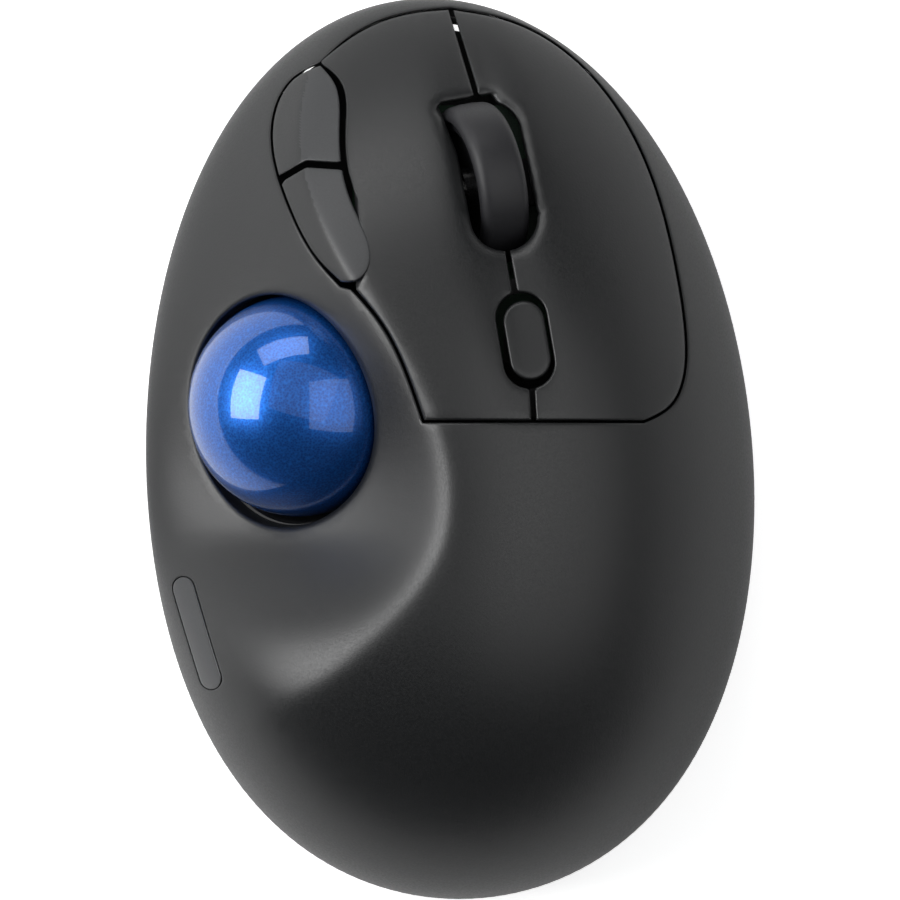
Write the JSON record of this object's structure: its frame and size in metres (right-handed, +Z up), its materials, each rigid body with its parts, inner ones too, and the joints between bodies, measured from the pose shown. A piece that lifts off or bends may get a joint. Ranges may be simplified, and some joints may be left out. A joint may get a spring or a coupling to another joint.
{
  "type": "trackball mouse",
  "caption": "Right-hand egg-shaped mouse with a ball in a thumb scoop, a scroll wheel, click buttons, side buttons and a resolution button, run by a battery.",
  "frame": {"origin": "on the desk, under the centre of the plan outline", "axes": "+X to the right of the hand, +Y to the front where the buttons end, +Z up"},
  "size_m": [0.0943, 0.1395, 0.0479],
  "materials": {
    "black_moulding": "fine matte texture",
    "button_moulding": "fine matte texture",
    "side_moulding": "satin",
    "pearl_ball": "pearl blue, polished",
    "inner_moulding": "matte",
    "switch_case": "matte",
    "bearing": "polished",
    "lens": "clear",
    "chip": "matte",
    "board": "satin",
    "window": "smoked, satin",
    "lamp": "clear",
    "battery_wrap": "printed sleeve",
    "spring_steel": "plated",
    "plated_steel": "plated",
    "slider": "satin",
    "foot_pad": "smooth slip pad",
    "screw_steel": "zinc plated",
    "tyre_rubber": "soft, satin",
    "axle_steel": "polished"
  },
  "bodies": {
    "housing": {"base_housing": "black_moulding", "upper_housing": "black_moulding", "button_deck": "inner_moulding", "ball_cup": "inner_moulding", "bearing_balls": "bearing", "sensor_lens": "lens", "optical_sensor": "chip", "sensor_board": "board", "button_board": "board", "side_board": "board", "main_board": "board", "left_switch": "switch_case", "right_switch": "switch_case", "dpi_switch": "switch_case", "side_switches": "switch_case", "middle_switch": "switch_case", "indicator_window": "window", "indicator_lamps": "lamp", "battery": "battery_wrap", "battery_spring": "spring_steel", "battery_contact": "spring_steel", "power_switch": "switch_case", "mode_switch": "switch_case", "feet": "foot_pad", "screws": "screw_steel"},
    "left_button": {"left_button": "button_moulding"},
    "right_button": {"right_button": "button_moulding"},
    "forward_button": {"forward_button": "side_moulding"},
    "back_button": {"back_button": "side_moulding"},
    "dpi_button": {"dpi_button": "side_moulding"},
    "trackball": {"trackball": "pearl_ball"},
    "wheel_cradle": {"wheel_cradle": "inner_moulding", "encoder_body": "inner_moulding"},
    "wheel": {"wheel_tyre": "tyre_rubber", "wheel_hub": "inner_moulding", "wheel_axle": "axle_steel", "encoder_rotor": "inner_moulding"},
    "battery_door": {"battery_door": "black_moulding"},
    "receiver": {"receiver_cap": "button_moulding", "receiver_plug": "plated_steel"},
    "power_slider": {"power_slider": "slider"},
    "mode_button": {"mode_button": "slider"}
  },
  "joints": [
    {"name": "left_click", "type": "hinge", "parent": "housing", "child": "left_button", "pos_m": [0, 0.0041, 0.0395], "axis": [-1, 0, 0], "range_deg": [0, 0.7], "stiffness_Nm_per_rad": 40, "springref_deg": -0.57},
    {"name": "right_click", "type": "hinge", "parent": "housing", "child": "right_button", "pos_m": [0.02, 0.0041, 0.0395], "axis": [-1, 0, 0], "range_deg": [0, 0.7], "stiffness_Nm_per_rad": 40, "springref_deg": -0.57},
    {"name": "forward_click", "type": "slide", "parent": "housing", "child": "forward_button", "axis": [0.8, 0, -0.6], "range_m": [0, 0.00035], "stiffness_N_per_m": 1500, "springref_m": -0.0002},
    {"name": "back_click", "type": "slide", "parent": "housing", "child": "back_button", "axis": [0.8, 0, -0.6], "range_m": [0, 0.00035], "stiffness_N_per_m": 1500, "springref_m": -0.0002},
    {"name": "dpi_click", "type": "slide", "parent": "housing", "child": "dpi_button", "axis": [0, 0, -1], "range_m": [0, 0.0005], "stiffness_N_per_m": 1500, "springref_m": -0.0002},
    {"name": "ball_roll", "type": "hinge", "parent": "housing", "child": "trackball", "pos_m": [-0.023, 0.0068, 0.025], "axis": [0, 0, 1], "continuous": true},
    {"name": "wheel_press", "type": "slide", "parent": "housing", "child": "wheel_cradle", "axis": [-0.287, -0.0558, -0.9563], "range_m": [0, 0.0005], "stiffness_N_per_m": 2500, "springref_m": -0.0003},
    {"name": "wheel_turn", "type": "hinge", "parent": "wheel_cradle", "child": "wheel", "pos_m": [0.0046, 0.0405, 0.0263], "axis": [0.9387, 0.1825, -0.2924], "continuous": true},
    {"name": "battery_door_off", "type": "slide", "parent": "housing", "child": "battery_door", "axis": [0, 0, -1], "range_m": [0, 0.012]},
    {"name": "receiver_out", "type": "slide", "parent": "housing", "child": "receiver", "axis": [0, 0, -1], "range_m": [0, 0.02]},
    {"name": "power_slide", "type": "slide", "parent": "housing", "child": "power_slider", "axis": [1, 0, 0], "range_m": [0, 0.003]},
    {"name": "mode_click", "type": "slide", "parent": "housing", "child": "mode_button", "axis": [0, 0, 1], "range_m": [0, 0.00035], "stiffness_N_per_m": 1000, "springref_m": -0.0002}
  ]
}
